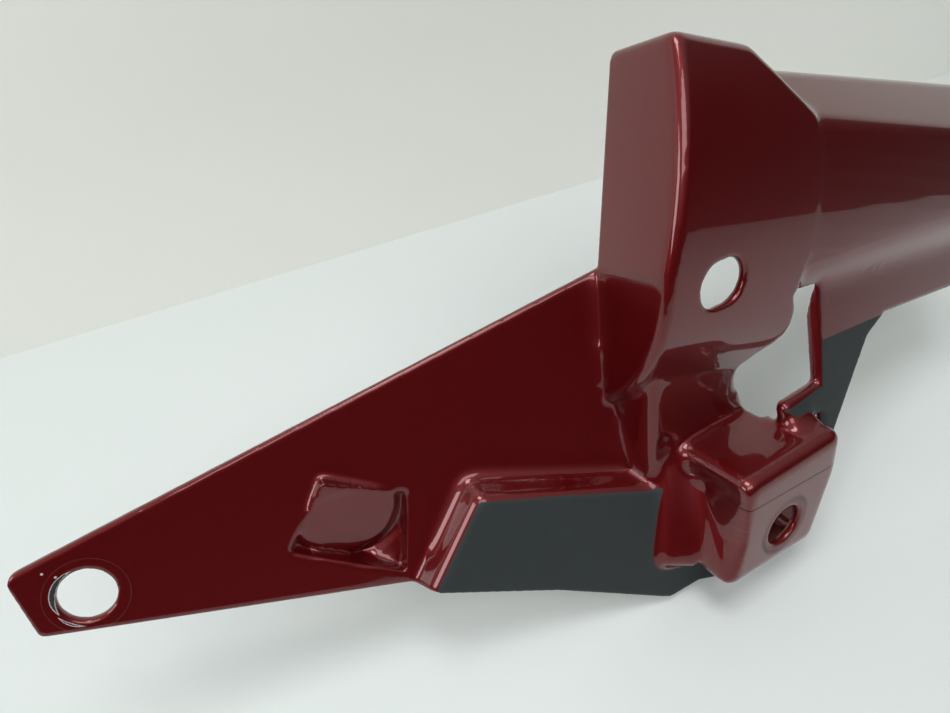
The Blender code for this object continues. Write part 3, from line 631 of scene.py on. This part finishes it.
TABLE_TONE = (0.62, 0.665, 0.655, 1.0)
TABLE_ROUGH = 0.45
TABLE_FRONT = -0.7
TABLE_GAP = 0.0002
WALL_TONE = (0.93, 0.94, 0.885, 1.0)
WALL_ROUGH = 0.6
WALL_Y = 0.195
WALL_TOP = 0.5
SET_X = (-0.9, 1.2)


def slab(name, corners, tone, roughness, one_sided=False):
    """A flat sheet of the set; one-sided, it doesn't hide the panel from behind."""
    mesh = bpy.data.meshes.new(name)
    mesh.from_pydata(corners, [], [(0, 1, 2, 3)])
    made = bpy.data.objects.new(name, mesh)
    bpy.context.scene.collection.objects.link(made)
    finish = bpy.data.materials.new(name + "_finish")
    finish.use_nodes = True
    web = finish.node_tree
    surface = web.nodes["Principled BSDF"]
    surface.inputs["Base Color"].default_value = tone
    surface.inputs["Roughness"].default_value = roughness
    if one_sided:
        rays = web.nodes.new("ShaderNodeLightPath")
        side = web.nodes.new("ShaderNodeNewGeometry")
        unseen = web.nodes.new("ShaderNodeMath")
        unseen.operation = 'MULTIPLY'
        web.links.new(rays.outputs["Is Camera Ray"], unseen.inputs[0])
        web.links.new(side.outputs["Backfacing"], unseen.inputs[1])
        clear = web.nodes.new("ShaderNodeBsdfTransparent")
        either = web.nodes.new("ShaderNodeMixShader")
        web.links.new(unseen.outputs[0], either.inputs[0])
        web.links.new(surface.outputs[0], either.inputs[1])
        web.links.new(clear.outputs[0], either.inputs[2])
        web.links.new(either.outputs[0], web.nodes["Material Output"].inputs["Surface"])
    made.data.materials.append(finish)


table_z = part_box("fairing_panel")[0].z - TABLE_GAP
slab("table", [(SET_X[0], TABLE_FRONT, table_z), (SET_X[1], TABLE_FRONT, table_z),
               (SET_X[1], WALL_Y, table_z), (SET_X[0], WALL_Y, table_z)],
     TABLE_TONE, TABLE_ROUGH)
slab("wall", [(SET_X[0], WALL_Y, table_z), (SET_X[1], WALL_Y, table_z),
              (SET_X[1], WALL_Y, WALL_TOP), (SET_X[0], WALL_Y, WALL_TOP)],
     WALL_TONE, WALL_ROUGH, one_sided=True)

# Light
# A soft light overhead, one from the left and a larger one from the front, in a dim room
# that is brighter towards its ceiling.

ROOM_HEIGHTS = (0.25, 0.80)
ROOM_TONES = (0.02, 0.42)


def soft_light(name, place, target, width, height, power):
    """An area light that faces a point."""
    lamp = bpy.data.lights.new(name, 'AREA')
    lamp.shape = 'RECTANGLE'
    lamp.size = width
    lamp.size_y = height
    lamp.energy = power
    made = bpy.data.objects.new(name, lamp)
    bpy.context.scene.collection.objects.link(made)
    way = Vector(target) - Vector(place)
    turned = way.to_track_quat('-Z', 'Y').to_matrix().to_4x4()
    made.matrix_world = Matrix.Translation(place) @ turned


soft_light("ceiling_light", (0.10, -0.02, 1.1), (0.14, 0.0, 0.0), 0.55, 0.40, 5.2)
soft_light("left_light", (-0.95, -0.25, 0.65), (0.10, 0.0, 0.0), 0.6, 0.5, 4.8)
soft_light("front_light", (0.15, -0.85, 1.15), (0.14, 0.0, 0.0), 1.1, 0.6, 7.0)

world = bpy.data.worlds.new("room")
bpy.context.scene.world = world
world.use_nodes = True
room = world.node_tree
heading = room.nodes.new("ShaderNodeTexCoord")
height = room.nodes.new("ShaderNodeSeparateXYZ")
room.links.new(heading.outputs["Generated"], height.inputs["Vector"])
glow = room.nodes.new("ShaderNodeMapRange")
glow.interpolation_type = 'SMOOTHSTEP'
glow.inputs["From Min"].default_value, glow.inputs["From Max"].default_value = ROOM_HEIGHTS
glow.inputs["To Min"].default_value, glow.inputs["To Max"].default_value = ROOM_TONES
room.links.new(height.outputs["Z"], glow.inputs["Value"])
room.links.new(glow.outputs["Result"], room.nodes["Background"].inputs["Color"])
room.nodes["Background"].inputs["Strength"].default_value = 1.0
bpy.context.scene.view_settings.view_transform = 'Standard'

# Camera
# It looks down on the panel from its outer side, as in the photograph. Its place and its
# directions are given in the moulding's own frame.

CAMERA_PLACE = (0.0335, -0.1732, 0.0899)
CAMERA_AHEAD = (0.334, 0.923, -0.192)
CAMERA_RIGHT = (0.942, -0.335, 0.026)
LENS_LENGTH = 26.53
SENSOR_WIDTH = 36.0
NEAREST = 0.005

eye = attitude @ Vector(CAMERA_PLACE)
ahead = (attitude @ Vector(CAMERA_AHEAD)).normalized()
right = attitude @ Vector(CAMERA_RIGHT)
right = (right - ahead * right.dot(ahead)).normalized()
above = right.cross(ahead)
lens = bpy.data.cameras.new("camera")
lens.lens = LENS_LENGTH
lens.sensor_width = SENSOR_WIDTH
lens.clip_start = NEAREST
camera = bpy.data.objects.new("camera", lens)
bpy.context.scene.collection.objects.link(camera)
camera.matrix_world = Matrix.Translation(eye) @ Matrix((right, above, -ahead)).transposed().to_4x4()
bpy.context.scene.camera = camera
